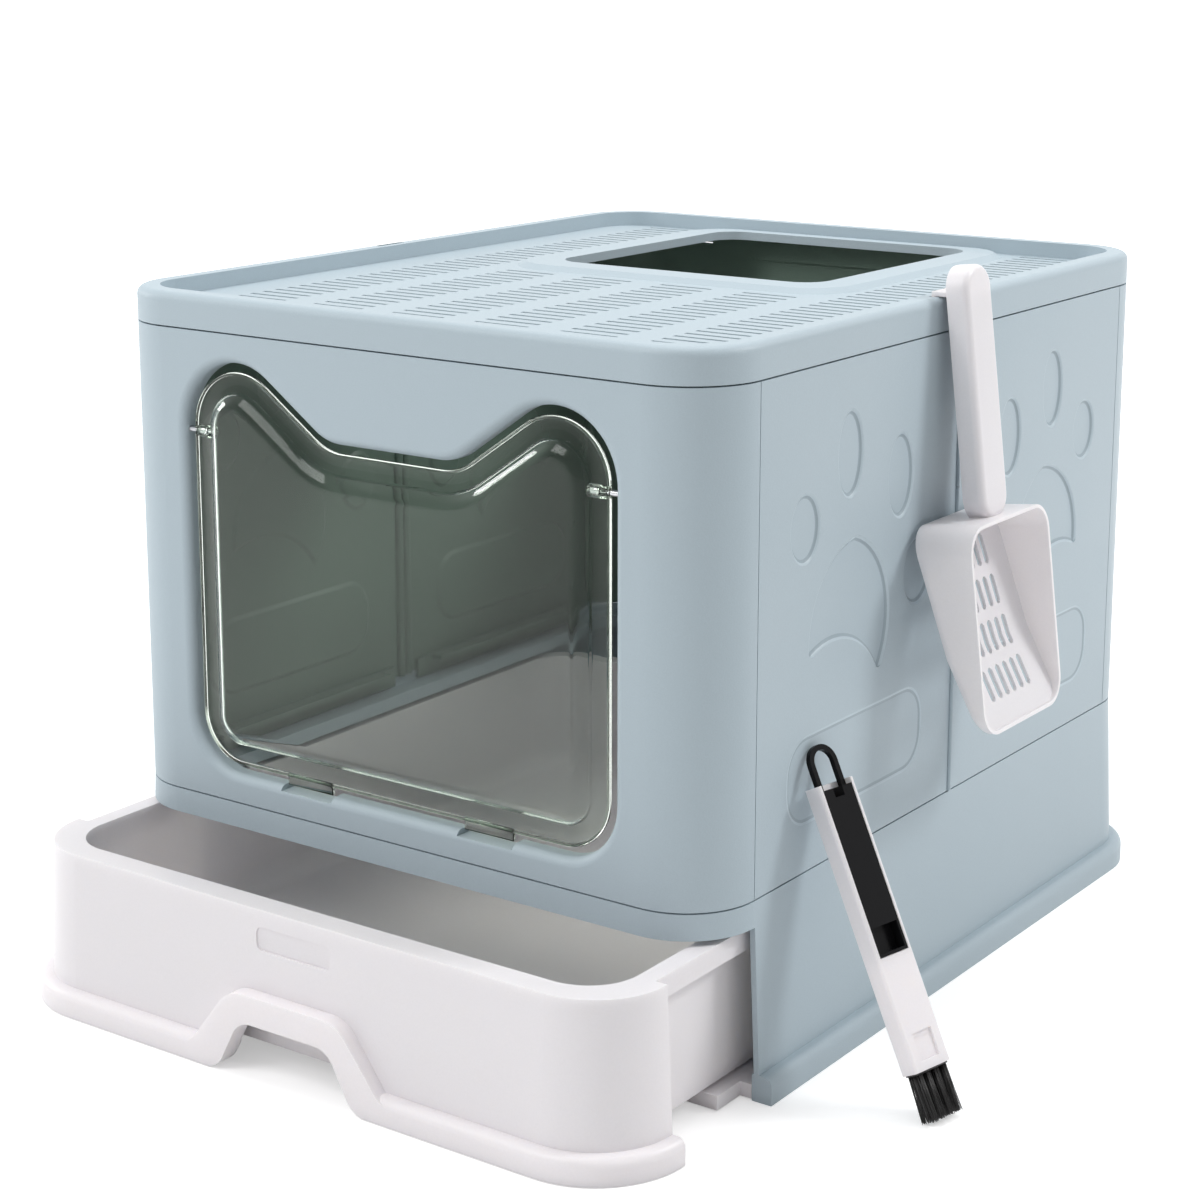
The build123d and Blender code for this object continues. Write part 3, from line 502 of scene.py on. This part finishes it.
# Brush: a white channel handle with a black dustpan lying in it and four black tufts at its foot.
# The strands are nylon, bundled in the head and splayed a little where they meet the floor.
gloss_black = moulded_plastic(
    "gloss_black", (0.008, 0.008, 0.009), drift=0.20, gloss=(0.16, 0.26), scale=700, depth=0.00003
)
surface_of(gloss_black).inputs["Specular IOR Level"].default_value = 0.10
strand_black = moulded_plastic(
    "strand_black", (0.020, 0.019, 0.019), drift=0.40, gloss=(0.35, 0.50), scale=1600, depth=0.00004
)
paint(satin_white, "brush_handle")
paint(gloss_black, "brush_dustpan")

tilt, turn = radians(27.7), radians(12.0)
brush_across = Vector((sin(turn), cos(turn), 0))
brush_out = Vector((cos(tilt) * cos(turn), -cos(tilt) * sin(turn), sin(tilt)))
brush_up = brush_out.cross(brush_across)
brush_foot = Vector((0.292693, -0.172, -0.0005))
strand_length, shortest_share = 0.025, 0.93
head_depth = 0.0055
head_middle = brush_foot + brush_up * strand_length + brush_out * head_depth
strands = bmesh.new()
root_plate = (0.024, 0.008, 0.001)
brush_turn = Matrix((brush_across, brush_out, brush_up)).transposed().to_4x4()
plate_place = Matrix.Translation(head_middle + brush_up * (root_plate[2] / 2)) @ brush_turn
bmesh.ops.create_cube(strands, size=1, matrix=plate_place @ Matrix.Diagonal((*root_plate, 1)))

shake = Random(5)
tuft_pitch, tuft_strands = 0.0063, 120
tuft_across, tuft_out = 0.0017, 0.0036
lean_across, lean_out, splay = 0.0008, 0.0006, 0.25
for tuft in (-1.5, -0.5, 0.5, 1.5):
    for strand in range(tuft_strands):
        across = tuft * tuft_pitch + shake.uniform(-tuft_across, tuft_across)
        out = shake.uniform(-tuft_out, tuft_out)
        root = head_middle + brush_across * across + brush_out * out
        lean = brush_across * shake.uniform(-lean_across, lean_across)
        lean = lean + brush_out * (out * splay + shake.uniform(-lean_out, lean_out))
        length = strand_length * shake.uniform(shortest_share, 1.0)
        tip = root - brush_up * length + lean
        aim = (tip - root).to_track_quat("Z", "Y").to_matrix().to_4x4()
        bmesh.ops.create_cone(
            strands,
            cap_ends=True,
            segments=5,
            radius1=0.00026,
            radius2=0.00016,
            depth=(tip - root).length,
            matrix=Matrix.Translation((root + tip) / 2) @ aim,
        )
bmesh.ops.bisect_plane(
    strands,
    geom=strands.verts[:] + strands.edges[:] + strands.faces[:],
    plane_co=(0, 0, 0.0001),
    plane_no=(0, 0, 1),
    clear_inner=True,
)
bmesh.ops.holes_fill(strands, edges=[edge for edge in strands.edges if edge.is_boundary], sides=0)
for face in strands.faces:
    face.smooth = True
bristles = make_piece("brush_strands", strands, strand_black, "brush")
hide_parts("brush_bristles")


# Studio: a wide pale floor that takes the shadow, a white surround, four soft lamps and the
# camera at the height and side of the photograph.
def seen_ray(tree, *looks):
    """One for what the camera sees straight or by the given looks, and zero for plain light."""
    ray = add_node(tree, "ShaderNodeLightPath")
    seen = add_node(tree, "ShaderNodeMath", operation="LESS_THAN")
    seen.inputs[1].default_value = 0.5
    tree.links.new(ray.outputs["Diffuse Depth"], seen.inputs[0])
    total = add_node(tree, "ShaderNodeMath", operation="MULTIPLY")
    tree.links.new(seen.outputs[0], total.inputs[0])
    tree.links.new(ray.outputs["Is Camera Ray"], total.inputs[1])
    for look in looks:
        more = add_node(tree, "ShaderNodeMath", operation="MULTIPLY_ADD", use_clamp=True)
        tree.links.new(seen.outputs[0], more.inputs[0])
        tree.links.new(ray.outputs[look], more.inputs[1])
        tree.links.new(total.outputs[0], more.inputs[2])
        total = more
    return total.outputs[0]


pale_floor = bpy.data.materials.new("pale_floor")
pale_floor.use_nodes = True
floor_tree = pale_floor.node_tree
floor_face = surface_of(pale_floor)
floor_face.inputs["Base Color"].default_value = (0.86, 0.86, 0.86, 1)
floor_face.inputs["Roughness"].default_value = 0.9
floor_face.inputs["Specular IOR Level"].default_value = 0.1
floor_face.inputs["Emission Color"].default_value = (1, 1, 1, 1)
floor_glow = add_node(floor_tree, "ShaderNodeMath", operation="MULTIPLY")
floor_place = add_node(floor_tree, "ShaderNodeTexCoord")
floor_reach = add_node(floor_tree, "ShaderNodeVectorMath", operation="LENGTH")
floor_fade = add_node(floor_tree, "ShaderNodeMapRange")
floor_fade.inputs["From Min"].default_value = 0.35
floor_fade.inputs["From Max"].default_value = 1.6
floor_fade.inputs["To Min"].default_value = 0.42
floor_fade.inputs["To Max"].default_value = 1.0
floor_looks = seen_ray(floor_tree, "Is Transmission Ray", "Is Glossy Ray")
floor_tree.links.new(floor_place.outputs["Object"], floor_reach.inputs[0])
floor_tree.links.new(floor_reach.outputs["Value"], floor_fade.inputs["Value"])
floor_tree.links.new(floor_looks, floor_glow.inputs[0])
floor_tree.links.new(floor_fade.outputs["Result"], floor_glow.inputs[1])
floor_tree.links.new(floor_glow.outputs[0], floor_face.inputs["Emission Strength"])
floor_half = 60
ground = bmesh.new()
bmesh.ops.create_grid(ground, x_segments=1, y_segments=1, size=floor_half)
studio_floor = link_mesh("studio_floor", ground, pale_floor)

surround = bpy.data.worlds.new("surround")
surround.use_nodes = True
sky_tree = surround.node_tree
sky = sky_tree.nodes["Background"]
sky.inputs["Color"].default_value = (1, 1, 1, 1)
sky_level = add_node(sky_tree, "ShaderNodeMapRange")
sky_level.inputs["To Min"].default_value = 0.38
sky_level.inputs["To Max"].default_value = 1.0
sky_looks = seen_ray(sky_tree, "Is Transmission Ray", "Is Glossy Ray")
sky_tree.links.new(sky_looks, sky_level.inputs["Value"])
sky_tree.links.new(sky_level.outputs["Result"], sky.inputs["Strength"])
bpy.context.scene.world = surround

lit_point = Vector((0, 0, 0.2))
for name, place, size, power in (
    ("front_lamp", (-0.70, -1.85, 2.10), 1.2, 28),
    ("side_lamp", (1.60, 1.10, 1.75), 0.6, 24),
    ("top_lamp", (-0.2, 0.3, 2.6), 1.8, 27),
    ("left_lamp", (-2.20, -0.55, 0.90), 0.5, 10),
):
    lamp = bpy.data.lights.new(name, "AREA")
    lamp.shape = "SQUARE"
    lamp.size = size
    lamp.energy = power
    stand = bpy.data.objects.new(name, lamp)
    stand.location = place
    stand.rotation_euler = (lit_point - Vector(place)).to_track_quat("-Z", "Y").to_euler()
    bpy.context.scene.collection.objects.link(stand)

looks_down, looks_left = 12.159, 35.475
lens = bpy.data.cameras.new("photo_camera")
lens.sensor_width = 36
lens.lens = 76.6
lens.shift_y = -0.1
lens.clip_end = 200
camera = bpy.data.objects.new("photo_camera", lens)
camera.location = (0.8561, -1.2598, 0.5965)
camera.rotation_euler = (radians(90 - looks_down), 0, radians(looks_left))
bpy.context.scene.collection.objects.link(camera)
bpy.context.scene.camera = camera
bpy.context.scene.view_settings.view_transform = "Standard"
